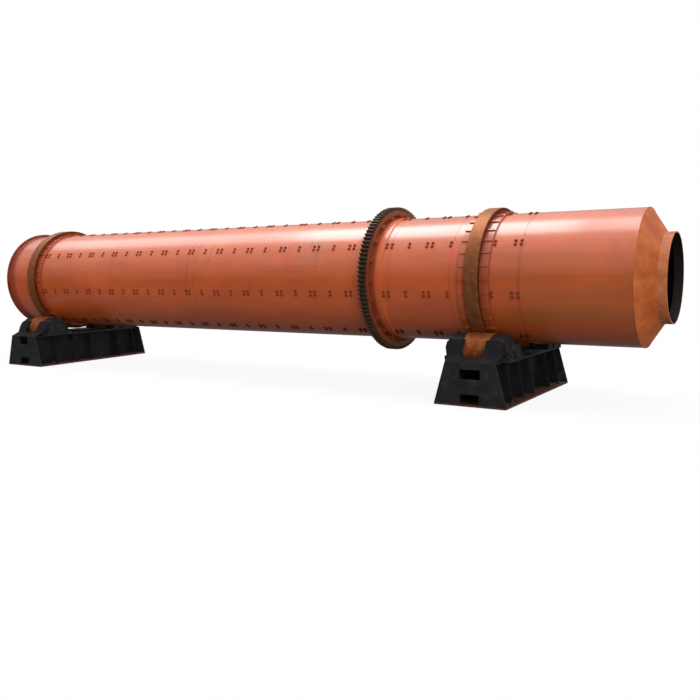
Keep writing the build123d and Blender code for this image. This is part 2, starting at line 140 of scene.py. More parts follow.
# Strengths of the painted shade beside the girth gear and the riding rings
GEAR_PAINTED_SHADE_STRENGTH = 0.75
RING_PAINTED_SHADE_STRENGTH = 0.7
# Strength of the painted shade on the seat edges
SEAT_EDGE_SHADE_STRENGTH = 0.75
FLANGE_STRIP_STRENGTH = 0.8
SCUFF_STRENGTH = 0.65

# Marks on the shell paint: places along the drum in metres, angles round it in degrees
BROWN_START, BROWN_FULL = 4.6, 5.8
BROWN_TOP_ANGLE, BROWN_FULL_ANGLE = 30.0, -15.0
# Angles over which the painted shade on the underside comes in
UNDERSIDE_TOP_ANGLE, UNDERSIDE_FULL_ANGLE = -5.0, -75.0
PALE_PATCH_X, PALE_PATCH_HALF_LENGTH, PALE_PATCH_EDGE = 1.02, 0.7, 0.15
PALE_PATCH_ANGLE, PALE_PATCH_SPREAD, PALE_PATCH_ANGLE_EDGE = 41.0, 22.0, 6.0
FLANGE_STRIP_START, FLANGE_STRIP_FULL = -7.35, -7.50
# Red patches: place, half length, angle, half spread, strength
RED_PATCHES = (
    (4.36, 0.05, 23, 8, 0.5),
    (0.70, 0.12, 21, 1.5, 0.4),
    (0.95, 0.16, 18, 2.0, 0.45),
    (1.00, 0.1, 26, 1, 0.35),
)
RED_PATCH_EDGE = 0.04
RED_PATCH_ANGLE_EDGE = 3.0
# Scuffs round the drum: place, angle, half spread
SCUFFS = (
    (-1.62, 15, 30),
    (-1.42, 20, 35),
    (-1.05, 35, 12),
    (1.42, 48, 10),
    (1.62, 40, 22),
    (1.70, 50, 8),
)
SCUFF_HALF_WIDTH = 0.008
SCUFF_EDGE = 0.022
SCUFF_ANGLE_EDGE = 12.0

# Rings round the drum
TYRE_RADIUS = 1.215
TYRE_FACE_MARGIN = 0.006
GEAR_DARK_RADIUS = 1.268
GEAR_DARK_UNEVENNESS = 0.012
# Stop blocks beside each riding ring, painted dark partly as painted shade
STOP_DARK_RADIUS = 1.1345
STOP_REACH = 0.05
STOP_HALF_LENGTH = 0.13
GEAR_SEAT_THICKNESS = 0.022
# Widths in metres of the painted shade beside the gear and the riding rings
GEAR_PAINTED_SHADE_HALF_WIDTH = 0.05
GEAR_PAINTED_SHADE_EDGE = 0.06
RING_PAINTED_SHADE_HALF_WIDTH = 0.06
RING_PAINTED_SHADE_EDGE = 0.16
# Width in metres of the painted shade on the seat edges
SEAT_EDGE_HALF_WIDTH = 0.0015
SEAT_EDGE_SOFTNESS = 0.001
# Seams of the shell: place, darkness
SEAMS = ((-3.94, 0.2), (3.155, 0.15), (4.332, 0.25), (5.524, 0.45))
SEAM_HALF_WIDTH = 0.010
SEAM_EDGE = 0.03
SEAM_BEAD = 0.004
SEAM_BEAD_LEAST = 0.6
SEAT_BEAD = 0.006
BEAD_SEGMENTS = 180
BEAD_SIDES = 8
BEAD_UNEVENNESS = (0.85, 1.15)

# Bolt heads in general
SINK = 0.001
HEXAGON_SIDES = 6
WASHER_HEIGHT = 0.005
ROUND_SIDES = 16
SMALL_ROUND_SIDES = 12
CROWN_RADIUS_SHARE = 0.78
CROWN_HEIGHT_SHARE = 0.12

# Lifter bolts
BOLT_ROWS = 8
BOLT_ROW_ANGLE = 32.2
BOLT_START = -6.297
BOLT_PITCH = 0.3908
BOLT_STATIONS = 31
BOLT_JUMP_STATION = 18
BOLT_JUMP = 0.037
BOLT_HIDDEN_STATIONS = (23, 28)
BOLT_PAIR_SPACING = 0.1
BOLT_STACK_SPACING = 0.068
BOLT_HEAD_RADIUS = 0.021
BOLT_HEAD_HEIGHT = 0.016
WASHER_RADIUS = 0.028
# Heights in metres over which painted shade darkens the bolt heads
LOW_BOLT_TOP = 1.45
LOW_BOLT_FULL = 1.15

# Flange bolts
FLANGE_BOLTS = 12
FLANGE_BOLT_CIRCLE = 1.136
FLANGE_BOLT_RADIUS = 0.021
FLANGE_BOLT_HEIGHT = 0.016
STUD_RADIUS = 0.012
STUD_LENGTH = FLANGE_BOLT_HEIGHT * 1.6

# Brackets of the girth gear
BRACKETS = 20
BRACKET_LENGTH = 0.045
BRACKET_WIDTH = 0.08
BRACKET_HEIGHT = 0.05
BRACKET_BOLT_RADIUS = 0.016
BRACKET_BOLT_HEIGHT = 0.013

# Fixings of the bases, as places from the middle of a roller or of a base
TOP_LIP_HEIGHT = 0.03
HOUSING_FOOT_HEIGHT = 0.04
FOOT_BOLT_REACH = 0.276
FOOT_BOLT_PLACES = (-0.45, -0.30, 0.31, 0.55)
FOOT_BOLT_RADIUS = 0.02
FOOT_BOLT_HEIGHT = 0.018
FOOT_WASHER_RADIUS = 0.023
CAP_BOLTS = 6
CAP_BOLT_CIRCLE = 0.092
CAP_BOLT_RADIUS = 0.011
CAP_BOLT_HEIGHT = 0.009
ANCHOR_REACH_X = 0.56
ANCHOR_REACH_Y = 1.2
ANCHOR_NUT_RADIUS = 0.029
ANCHOR_NUT_HEIGHT = 0.026
ANCHOR_WASHER_RADIUS = 0.036
ANCHOR_STUD_RADIUS = 0.0165
ANCHOR_STUD_LENGTH = 0.065

# Bearing guards; a share is a part of the way from a guard's fold up to its top
WALL_TOP_HALF_WIDTH = 0.43
GUARD_CLEAR_RADIUS = 0.29
GUARD_THICKNESS = 0.008
GUARD_INWARD_SHARE = 0.6
GUARD_SEAT_INSET = 0.002
GUARD_SEAT_RISE = 0.001
GUARD_FOLD_REACH = 0.22
GUARD_FOLD_RISE = 0.075
GUARD_BACK_REACH = 0.258
GUARD_BACK_RISE = 0.02
GUARD_HEEL_REACH = 0.01
GUARD_HEEL_RISE = 0.004
GUARD_CORNER = 0.06
GUARD_CORNER_SHARE = 0.85
GUARD_SLOPE_SHARE = 0.5
NOTCH_INSET = 0.05
NOTCH_ROUND = 0.05
NOTCH_BEND = NOTCH_ROUND * 0.3
NOTCH_BEND_SHARE = 0.06
NOTCH_SIDE_SHARE = 0.2


def node_box(name):
    """Lowest and highest corner of a CAD node."""
    corners = [nodes[name].matrix_world @ Vector(corner) for corner in nodes[name].bound_box]
    low = Vector(min(corner[i] for corner in corners) for i in range(3))
    high = Vector(max(corner[i] for corner in corners) for i in range(3))
    return low, high


def fill(tree, socket, value):
    """Links a socket to another one, or gives it a plain number or colour."""
    if isinstance(value, bpy.types.NodeSocket):
        tree.links.new(value, socket)
    elif isinstance(value, tuple):
        socket.default_value = (*value, 1)
    else:
        socket.default_value = value


class Nodes:
    """Short way to build a material's node tree."""

    def __init__(self, name):
        self.material = bpy.data.materials.new(name)
        self.material.use_nodes = True
        self.tree = self.material.node_tree
        self.tree.nodes.clear()
        self.output = self.tree.nodes.new("ShaderNodeOutputMaterial")
        self.place = self.tree.nodes.new("ShaderNodeTexCoord").outputs["Object"]

    def new(self, kind, **settings):
        """New node with its settings."""
        node = self.tree.nodes.new(kind)
        for key, value in settings.items():
            setattr(node, key, value)
        return node

    def link(self, source, target):
        """Link from an output to an input."""
        self.tree.links.new(source, target)

    def scaled(self, scale):
        """Object coordinates stretched by a vector."""
        mapping = self.new("ShaderNodeMapping")
        mapping.inputs["Scale"].default_value = scale
        self.link(self.place, mapping.inputs["Vector"])
        return mapping.outputs["Vector"]

    def noise(self, scale, detail=6.0, roughness=0.6, stretch=None, distortion=0.0):
        """Noise value at a scale in waves per metre."""
        node = self.new("ShaderNodeTexNoise")
        node.inputs["Scale"].default_value = scale
        node.inputs["Detail"].default_value = detail
        node.inputs["Roughness"].default_value = roughness
        node.inputs["Distortion"].default_value = distortion
        self.link(self.scaled(stretch) if stretch else self.place, node.inputs["Vector"])
        return node.outputs["Fac"]

    def ramp(self, value, places, colours):
        """Ramp with one colour, or one number for a grey, at each place."""
        node = self.new("ShaderNodeValToRGB")
        elements = node.color_ramp.elements
        while len(elements) < len(places):
            elements.new(0.5)
        for element, position, colour in zip(elements, places, colours):
            element.position = position
            element.color = (*colour, 1) if isinstance(colour, tuple) else (*[colour] * 3, 1)
        self.link(value, node.inputs["Fac"])
        return node.outputs["Color"]

    def blend(self, factor, first, second):
        """Mix of two colours; each may be a socket or a plain colour."""
        node = self.new("ShaderNodeMix", data_type="RGBA")
        fill(self.tree, node.inputs[0], factor)
        fill(self.tree, node.inputs[6], first)
        fill(self.tree, node.inputs[7], second)
        return node.outputs[2]

    def math(self, operation, first, second=0.0):
        """Result of a math node on two numbers or sockets."""
        node = self.new("ShaderNodeMath", operation=operation)
        fill(self.tree, node.inputs[0], first)
        fill(self.tree, node.inputs[1], second)
        return node.outputs[0]

    def product(self, first, *others):
        """Product of factors."""
        result = first
        for other in others:
            result = self.math("MULTIPLY", result, other)
        return result

    def axis(self, letter):
        """One object coordinate, in metres."""
        node = self.new("ShaderNodeSeparateXYZ")
        self.link(self.place, node.inputs[0])
        return node.outputs[letter]

    def bumped(self, height, strength, distance):
        """Normal that follows a height."""
        node = self.new("ShaderNodeBump")
        node.inputs["Strength"].default_value = strength
        node.inputs["Distance"].default_value = distance
        self.link(height, node.inputs["Height"])
        return node.outputs["Normal"]

    def surface(self, colour, roughness, normal, metallic=0.0, coat=0.0, gloss=0.5):
        """Finished material; colour and roughness may be sockets or plain values."""
        shader = self.new("ShaderNodeBsdfPrincipled")
        fill(self.tree, shader.inputs["Base Color"], colour)
        fill(self.tree, shader.inputs["Roughness"], roughness)
        shader.inputs["Metallic"].default_value = metallic
        shader.inputs["Coat Weight"].default_value = coat
        shader.inputs["Coat Roughness"].default_value = COAT_ROUGHNESS
        shader.inputs["Coat IOR"].default_value = COAT_IOR
        shader.inputs["Specular IOR Level"].default_value = gloss
        self.link(normal, shader.inputs["Normal"])
        self.link(shader.outputs[0], self.output.inputs["Surface"])
        return self.material


def radius_and_angle(n):
    """Distance from the drum axis in metres and angle round it in degrees, 0 on the near side."""
    split = n.new("ShaderNodeSeparateXYZ")
    n.link(n.place, split.inputs[0])
    up = n.math("SUBTRACT", split.outputs["Z"], AXIS_HEIGHT)
    near = n.math("MULTIPLY", split.outputs["Y"], -1.0)
    radius = n.math("SQRT", n.math("ADD", n.math("POWER", up, 2.0), n.math("POWER", near, 2.0)))
    angle = n.math("DEGREES", n.math("ARCTAN2", up, near))
    return radius, angle


def inside_of_drum(n):
    """Factor that is 1 on faces turned towards the drum axis."""
    normal = n.new("ShaderNodeTexCoord").outputs["Normal"]
    centred = n.new("ShaderNodeVectorMath", operation="SUBTRACT")
    n.link(n.place, centred.inputs[0])
    centred.inputs[1].default_value = (0, 0, AXIS_HEIGHT)
    outward = n.new("ShaderNodeVectorMath", operation="MULTIPLY")
    n.link(centred.outputs["Vector"], outward.inputs[0])
    outward.inputs[1].default_value = (0, 1, 1)
    along = n.new("ShaderNodeVectorMath", operation="DOT_PRODUCT")
    n.link(outward.outputs["Vector"], along.inputs[0])
    n.link(normal, along.inputs[1])
    return n.math("LESS_THAN", along.outputs["Value"], -INWARD_LIMIT)


def rises(n, value, start, end):
    """Factor that goes from 0 at one value to 1 at another."""
    slope = n.new("ShaderNodeMapRange")
    slope.inputs["From Min"].default_value = start
    slope.inputs["From Max"].default_value = end
    n.link(value, slope.inputs["Value"])
    return slope.outputs["Result"]


def band(n, value, middle, half_width, softness):
    """Factor that is 1 within a band of a value and fades out at its edges."""
    away = n.math("ABSOLUTE", n.math("SUBTRACT", value, middle))
    return rises(n, away, half_width + softness, half_width)


def stained_primer(n, mottle, x, angle):
    """Red-oxide primer with streaks, worn spots, a browner coned end and painted shade that darkens
    the underside.
    """
    broad = n.noise(0.7, detail=5, roughness=0.55)
    streak = n.noise(3.0, detail=8, roughness=0.65, stretch=(0.22, 1.6, 1.6), distortion=0.6)
    colour = n.ramp(broad, (0.3, 0.5, 0.7), SHELL_SHADES)
    stain = n.ramp(streak, (0.45, 0.68), (0.0, 1.0))
    colour = n.blend(n.product(stain, STAIN_STRENGTH), colour, STAIN_COLOUR)
    worn = n.ramp(mottle, (0.58, 0.78), (0.0, 1.0))
    colour = n.blend(n.product(worn, WORN_STRENGTH), colour, WORN_COLOUR)
    long_noise = n.noise(2.2, detail=8, roughness=0.65, stretch=(0.2, 1.4, 1.4))
    brown = n.product(
        n.ramp(long_noise, (0.40, 0.60), (0.0, 1.0)),
        rises(n, x, BROWN_START, BROWN_FULL),
        rises(n, angle, BROWN_TOP_ANGLE, BROWN_FULL_ANGLE),
        BROWN_STRENGTH,
    )
    colour = n.blend(brown, colour, BROWN_COLOUR)
    # Painted shade: the primer darkens towards the underside of the drum
    underside = rises(n, angle, UNDERSIDE_TOP_ANGLE, UNDERSIDE_FULL_ANGLE)
    return n.blend(n.product(underside, UNDERSIDE_SHADE_STRENGTH), colour, UNDERSIDE_SHADE_COLOUR)


def seams_and_patches(n, colour, mottle, x, angle):
    """Shell colour with the ring seams, the pale worn patch and the red patches."""
    for place, strength in SEAMS:
        line = n.product(band(n, x, place, SEAM_HALF_WIDTH, SEAM_EDGE), strength)
        colour = n.blend(line, colour, SEAM_COLOUR)
    pale = n.product(
        band(n, x, PALE_PATCH_X, PALE_PATCH_HALF_LENGTH, PALE_PATCH_EDGE),
        band(n, angle, PALE_PATCH_ANGLE, PALE_PATCH_SPREAD, PALE_PATCH_ANGLE_EDGE),
        n.ramp(mottle, (0.45, 0.62), (0.0, 1.0)),
        PALE_PATCH_STRENGTH,
    )
    colour = n.blend(pale, colour, PALE_PATCH_COLOUR)
    for place, half_length, middle, spread, strength in RED_PATCHES:
        red = n.product(
            band(n, x, place, half_length, RED_PATCH_EDGE),
            band(n, angle, middle, spread, RED_PATCH_ANGLE_EDGE),
            strength,
        )
        colour = n.blend(red, colour, RED_PATCH_COLOUR)
    return colour


def shade_at_rings(n, colour, x, radius):
    """Shell colour with painted shade beside the gear and the riding rings and on the edges of the
    ring seats, and stop blocks painted dark, partly as painted shade.
    """
    gear_right = node_box("girth_gear")[1].x
    # Painted shade on the shell beside the gear
    beside_gear = band(n, x, gear_right, GEAR_PAINTED_SHADE_HALF_WIDTH, GEAR_PAINTED_SHADE_EDGE)
    colour = n.blend(n.product(beside_gear, GEAR_PAINTED_SHADE_STRENGTH), colour, GEAR_PAINTED_SHADE_COLOUR)
    for tyre in ("left_tyre", "right_tyre"):
        low, high = node_box(tyre)
        # Painted shade on the shell beside the riding ring
        beside_tyre = band(n, x, high.x, RING_PAINTED_SHADE_HALF_WIDTH, RING_PAINTED_SHADE_EDGE)
        colour = n.blend(n.product(beside_tyre, RING_PAINTED_SHADE_STRENGTH), colour, RING_PAINTED_SHADE_COLOUR)
        # Stop blocks painted dark, partly as painted shade
        stops = n.product(
            band(n, x, low.x - STOP_REACH, STOP_HALF_LENGTH, 0.0),
            n.math("GREATER_THAN", radius, STOP_DARK_RADIUS),
        )
        colour = n.blend(stops, colour, STOP_DARK_AND_SHADE_COLOUR)
        # Painted shade on the edges of the ring's seat
        for corner in node_box(f"{tyre}_seat"):
            edge = band(n, x, corner.x, SEAT_EDGE_HALF_WIDTH, SEAT_EDGE_SOFTNESS)
            colour = n.blend(n.product(edge, SEAT_EDGE_SHADE_STRENGTH), colour, SEAT_EDGE_SHADE_COLOUR)
    return colour


def flange_strip_and_scuffs(n, colour, x, angle):
    """Shell colour with a darker strip beside the flange and thin scuffs round the drum."""
    strip = rises(n, x, FLANGE_STRIP_START, FLANGE_STRIP_FULL)
    colour = n.blend(n.product(strip, FLANGE_STRIP_STRENGTH), colour, FLANGE_STRIP_COLOUR)
    ragged = n.ramp(n.noise(7.0, detail=6, roughness=0.7), (0.42, 0.58), (0.0, 1.0))
    for place, middle, spread in SCUFFS:
        scuff = n.product(
            band(n, x, place, SCUFF_HALF_WIDTH, SCUFF_EDGE),
            band(n, angle, middle, spread, SCUFF_ANGLE_EDGE),
            ragged,
            SCUFF_STRENGTH,
        )
        colour = n.blend(scuff, colour, SCUFF_COLOUR)
    return colour


def shell_paint():
    """Weathered red-oxide primer of the shell; inside the drum bare, dusty and darkened by painted
    shade, without a grain.
    """
    n = Nodes("shell_red_oxide")
    mottle = n.noise(5.0, detail=8, roughness=0.65)
    fine = n.noise(60.0, detail=4, roughness=0.6)
    radius, angle = radius_and_angle(n)
    x = n.axis("X")
    colour = stained_primer(n, mottle, x, angle)
    colour = seams_and_patches(n, colour, mottle, x, angle)
    colour = shade_at_rings(n, colour, x, radius)
    colour = flange_strip_and_scuffs(n, colour, x, angle)
    # Inside the drum the colour turns dark dusty brown, which is partly painted shade
    inside = inside_of_drum(n)
    colour = n.blend(inside, colour, DRUM_INSIDE_DUST_AND_SHADE_COLOUR)
    grain = n.product(fine, n.math("SUBTRACT", 1.0, inside))
    rough = n.ramp(mottle, (0.3, 0.7), (0.38, 0.5))
    return n.surface(colour, rough, n.bumped(grain, 0.12, 0.004), coat=1.0, gloss=LOW_GLOSS)


def flange_paint():
    """Darker, rustier primer on the flange and end plate."""
    n = Nodes("flange_primer")
    mottle = n.noise(6.0, detail=8, roughness=0.7)
    fine = n.noise(70.0, detail=4)
    colour = n.ramp(mottle, (0.3, 0.5, 0.7), FLANGE_SHADES)
    return n.surface(colour, 0.55, n.bumped(fine, 0.2, 0.004), gloss=LOW_GLOSS)


def rusty_primer(name, shades):
    """Thin primer with bare rusty areas, over the cone or the neck; painted shade darkens the inside.
    """
    n = Nodes(name)
    mottle = n.noise(4.0, detail=8, roughness=0.65)
    fine = n.noise(70.0, detail=4)
    colour = n.ramp(mottle, (0.3, 0.5, 0.7), shades)
    # Painted shade on the inside faces
    colour = n.blend(inside_of_drum(n), colour, MOUTH_INSIDE_SHADE_COLOUR)
    rough = n.ramp(mottle, (0.3, 0.7), (0.45, 0.65))
    return n.surface(colour, rough, n.bumped(fine, 0.2, 0.004), gloss=LOW_GLOSS)


def ring_steel():
    """Machined ring: brown rust with turning marks on the outer face, dark primer on the sides."""
    n = Nodes("ring_rusty_steel")
    bands = n.noise(2.0, detail=8, roughness=0.7, stretch=(30.0, 1.0, 1.0))
    mottle = n.noise(9.0, detail=8, roughness=0.7)
    face = n.ramp(mottle, (0.3, 0.5, 0.72), RING_FACE_SHADES)
    face = n.blend(n.ramp(bands, (0.45, 0.62), (0.0, 0.45)), face, TURNING_MARK_COLOUR)
    side = n.ramp(mottle, (0.3, 0.55, 0.75), RING_SIDE_SHADES)
    radius, _ = radius_and_angle(n)
    colour = n.blend(n.math("GREATER_THAN", radius, TYRE_RADIUS - TYRE_FACE_MARGIN), side, face)
    rough = n.ramp(mottle, (0.3, 0.7), (0.4, 0.6))
    return n.surface(colour, rough, n.bumped(bands, 0.15, 0.003), metallic=0.65, gloss=LOW_GLOSS)


def gear_steel():
    """Dark greasy teeth on a rim with orange-brown primed sides."""
    n = Nodes("gear_dark_steel")
    mottle = n.noise(12.0, detail=8, roughness=0.7)
    fine = n.noise(90.0, detail=4)
    teeth = n.ramp(mottle, (0.3, 0.55, 0.75), TEETH_SHADES)
    rim = n.ramp(mottle, (0.3, 0.55, 0.75), RIM_SHADES)
    radius, _ = radius_and_angle(n)
    edge = n.math("ADD", radius, n.product(mottle, GEAR_DARK_UNEVENNESS))
    colour = n.blend(n.math("GREATER_THAN", edge, GEAR_DARK_RADIUS), rim, teeth)
    rough = n.ramp(mottle, (0.3, 0.7), (0.38, 0.6))
    return n.surface(colour, rough, n.bumped(fine, 0.2, 0.003), metallic=0.2, gloss=LOW_GLOSS)


def roller_steel():
    """Worn roller with orange rust."""
    n = Nodes("roller_steel")
    bands = n.noise(2.0, detail=8, roughness=0.7, stretch=(25.0, 1.0, 1.0))
    mottle = n.noise(10.0, detail=8, roughness=0.7)
    colour = n.ramp(mottle, (0.3, 0.5, 0.72), ROLLER_SHADES)
    rough = n.ramp(bands, (0.3, 0.7), (0.35, 0.55))
    return n.surface(colour, rough, n.bumped(bands, 0.12, 0.003), metallic=0.2, gloss=LOW_GLOSS)


def base_paint():
    """Black paint with dusty and scuffed patches."""
    n = Nodes("base_black_paint")
    mottle = n.noise(6.0, detail=8, roughness=0.65)
    fine = n.noise(80.0, detail=4)
    colour = n.ramp(mottle, (0.3, 0.55, 0.75), BLACK_SHADES)
    rough = n.ramp(mottle, (0.3, 0.7), (0.4, 0.6))
    return n.surface(colour, rough, n.bumped(fine, 0.15, 0.003), gloss=LOW_GLOSS)


def grime_and_shade_paint():
    """Matt black paint under grime and darkened further as painted shade, on the webs, ribs and
    bearing guards.
    """
    n = Nodes("base_grime_and_shade_paint")
    mottle = n.noise(5.0, detail=8, roughness=0.65)
    fine = n.noise(80.0, detail=4)
    colour = n.ramp(mottle, (0.3, 0.55, 0.75), GRIME_AND_SHADE_TONES)
    return n.surface(colour, 0.75, n.bumped(fine, 0.15, 0.003), gloss=MATT_GLOSS)


def plate_rust():
    """Bottom plate: black paint worn through to reddish brown."""
    n = Nodes("base_plate_rusty")
    mottle = n.noise(7.0, detail=8, roughness=0.7)
    fine = n.noise(80.0, detail=4)
    colour = n.ramp(mottle, (0.3, 0.5, 0.72), PLATE_SHADES)
    return n.surface(colour, 0.65, n.bumped(fine, 0.25, 0.004))


def bare_steel():
    """Mill scale and light rust on the lifting flights."""
    n = Nodes("flight_steel")
    mottle = n.noise(8.0, detail=8, roughness=0.7)
    colour = n.ramp(mottle, (0.3, 0.6, 0.75), FLIGHT_SHADES)
    return n.surface(colour, 0.6, n.bumped(mottle, 0.2, 0.004), metallic=0.3)


def bolt_steel():
    """Rusty bolt heads on the drum, with painted shade that darkens them towards its underside."""
    n = Nodes("bolt_rusty_steel")
    mottle = n.noise(25.0, detail=8, roughness=0.7)
    colour = n.ramp(mottle, (0.3, 0.5, 0.72), BOLT_SHADES)
    # Painted shade: the bolt heads darken towards the underside
    colour = n.blend(rises(n, n.axis("Z"), LOW_BOLT_TOP, LOW_BOLT_FULL), colour, LOW_BOLT_SHADE_COLOUR)
    return n.surface(colour, 0.75, n.bumped(mottle, 0.2, 0.002), gloss=MATT_GLOSS)


def fixing_steel():
    """Blackened bolts and nuts on the bases."""
    n = Nodes("base_bolt_steel")
    mottle = n.noise(30.0, detail=8, roughness=0.7)
    colour = n.ramp(mottle, (0.3, 0.55, 0.75), FIXING_SHADES)
    return n.surface(colour, 0.6, n.bumped(mottle, 0.2, 0.002), metallic=0.2, gloss=LOW_GLOSS)


def finish_of(name):
    """Finish that a CAD node takes."""
    if name in ("flange", "end_plate"):
        return "flange"
    if name in ("cone", "neck"):
        return name
    endings = {
        "seat": "shell",
        "flights": "bare",
        "gear": "gear",
        "tyre": "ring",
        "roller": "roller",
        "shaft": "roller",
        "webs": "grime_and_shade",
        "ribs": "grime_and_shade",
        "bottom_plate": "plate",
    }
    for ending, finish in endings.items():
        if name.endswith(ending):
            return finish
    return "shell" if name.startswith("shell") else "base"


def finish_nodes(finishes):
    """Gives every CAD node its finish."""
    for name in nodes:
        mesh = nodes[name].data
        mesh.materials.clear()
        mesh.materials.append(finishes[finish_of(name)])


def join_rings(mesh, low, high):
    """Adds the side faces between two rings of vertices."""
    for index in range(len(low)):
        after = (index + 1) % len(low)
        mesh.faces.new((low[index], low[after], high[after], high[index]))


def add_prism(mesh, place, radius, height, sides, turn=0.0):
    """Adds a closed prism standing on a place's XY plane to a bmesh."""
    rings = []
    for z in (0.0, height):
        ring = []
        for index in range(sides):
            angle = turn + 2 * math.pi * index / sides
            point = Vector((radius * math.cos(angle), radius * math.sin(angle), z))
            ring.append(mesh.verts.new(place @ point))
        rings.append(ring)
    low, high = rings
    mesh.faces.new(high)
    mesh.faces.new(list(reversed(low)))
    join_rings(mesh, low, high)


def make_object(name, mesh, material, body):
    """Turns a bmesh into an object that rides on a body."""
    data = bpy.data.meshes.new(name)
    mesh.normal_update()
    mesh.to_mesh(data)
    mesh.free()
    data.materials.append(material)
    piece = bpy.data.objects.new(name, data)
    bpy.context.scene.collection.objects.link(piece)
    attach(piece, body)


def on_shell(x, angle, radius):
    """Place on a drum surface whose Z axis points outward; angle 0 faces the camera side."""
    turn = math.radians(angle)
    outward = Vector((0, -math.cos(turn), math.sin(turn)))
    along = Vector((1, 0, 0))
    across = outward.cross(along)
    place = Matrix((along, across, outward)).transposed().to_4x4()
    place.translation = Vector((x, 0, AXIS_HEIGHT)) + outward * radius
    return place


def facing(point, outward):
    """Place at a point whose Z axis points outward."""
    place = Vector(outward).to_track_quat("Z", "Y").to_matrix().to_4x4()
    place.translation = Vector(point)
    return place


def add_bolt(mesh, place, radius, height, washer=0.0):
    """Adds a hexagon bolt head, on a washer where that has a radius."""
    if washer:
        add_prism(mesh, place, washer, WASHER_HEIGHT, ROUND_SIDES)
        place = place @ Matrix.Translation((0, 0, WASHER_HEIGHT))
    add_prism(mesh, place, radius, height, HEXAGON_SIDES, dice.uniform(0, math.pi / 3))
    crown = place @ Matrix.Translation((0, 0, height))
    add_prism(mesh, crown, radius * CROWN_RADIUS_SHARE, height * CROWN_HEIGHT_SHARE, SMALL_ROUND_SIDES)


def add_box(mesh, place, length, width, height):
    """Adds a box standing on a place's XY plane, centred on it."""
    x, y = length / 2, width / 2
    corners = ((-x, -y), (x, -y), (x, y), (-x, y))
    low = [mesh.verts.new(place @ Vector((*corner, 0))) for corner in corners]
    high = [mesh.verts.new(place @ Vector((*corner, height))) for corner in corners]
    mesh.faces.new(high)
    mesh.faces.new(list(reversed(low)))
    join_rings(mesh, low, high)


def add_bead(mesh, x, radius, bead):
    """Adds a weld bead round the drum, with slightly uneven width."""
    rings = []
    for segment in range(BEAD_SEGMENTS):
        angle = 2 * math.pi * segment / BEAD_SEGMENTS
        width = bead * dice.uniform(*BEAD_UNEVENNESS)
        ring = []
        for side in range(BEAD_SIDES):
            turn = 2 * math.pi * side / BEAD_SIDES
            reach = radius + width * math.sin(turn)
            along = x + width * math.cos(turn)
            point = (along, reach * math.cos(angle), AXIS_HEIGHT + reach * math.sin(angle))
            ring.append(mesh.verts.new(point))
        rings.append(ring)
    for segment, ring in enumerate(rings):
        join_rings(mesh, ring, rings[(segment + 1) % BEAD_SEGMENTS])


def lifter_bolts(material):
    """Bolt heads that hold the lifting flights, in rows along the shell."""
    mesh = bmesh.new()
    half_stack = math.degrees(BOLT_STACK_SPACING / 2 / SHELL_RADIUS)
    for station in range(BOLT_STATIONS):
        if station in BOLT_HIDDEN_STATIONS:
            continue
        middle = BOLT_START + BOLT_PITCH * station
        if station >= BOLT_JUMP_STATION:
            middle += BOLT_JUMP
        offsets = (-BOLT_PAIR_SPACING / 2, BOLT_PAIR_SPACING / 2) if station % 2 == 0 else (0.0,)
        for row in range(BOLT_ROWS):
            angle = BOLT_ROW_ANGLE + row * 360 / BOLT_ROWS
            for offset in offsets:
                for side in (-half_stack, half_stack):
                    place = on_shell(middle + offset, angle + side, SHELL_RADIUS - SINK)
                    add_bolt(mesh, place, BOLT_HEAD_RADIUS, BOLT_HEAD_HEIGHT, WASHER_RADIUS)
    make_object("lifter_bolts", mesh, material, "drum")


def flange_bolts(material):
    """Bolts through the flange: heads on the shell side, nuts and stud ends outside."""
    mesh = bmesh.new()
    outside = node_box("end_plate")[0].x
    inside = node_box("flange")[1].x
    for index in range(FLANGE_BOLTS):
        angle = 2 * math.pi * index / FLANGE_BOLTS
        y = -FLANGE_BOLT_CIRCLE * math.sin(angle)
        z = AXIS_HEIGHT + FLANGE_BOLT_CIRCLE * math.cos(angle)
        head = facing((inside, y, z), (1, 0, 0))
        add_bolt(mesh, head, FLANGE_BOLT_RADIUS, FLANGE_BOLT_HEIGHT)
        nut = facing((outside, y, z), (-1, 0, 0))
        add_bolt(mesh, nut, FLANGE_BOLT_RADIUS, FLANGE_BOLT_HEIGHT)
        add_prism(mesh, nut, STUD_RADIUS, STUD_LENGTH, SMALL_ROUND_SIDES)
    make_object("flange_bolts", mesh, material, "drum")


def weld_beads(material):
    """Ring seams of the shell, and the welds at the cone, the gear seat and the flange."""
    mesh = bmesh.new()
    for place, strength in SEAMS:
        add_bead(mesh, place, SHELL_RADIUS, SEAM_BEAD * (SEAM_BEAD_LEAST + strength / 2))
    add_bead(mesh, node_box("cone")[0].x, SHELL_RADIUS, SEAM_BEAD)
    for corner in node_box("gear_seat"):
        add_bead(mesh, corner.x, SHELL_RADIUS, SEAT_BEAD)
    add_bead(mesh, node_box("flange")[1].x, SHELL_RADIUS, SEAT_BEAD)
    make_object("weld_beads", mesh, material, "drum")


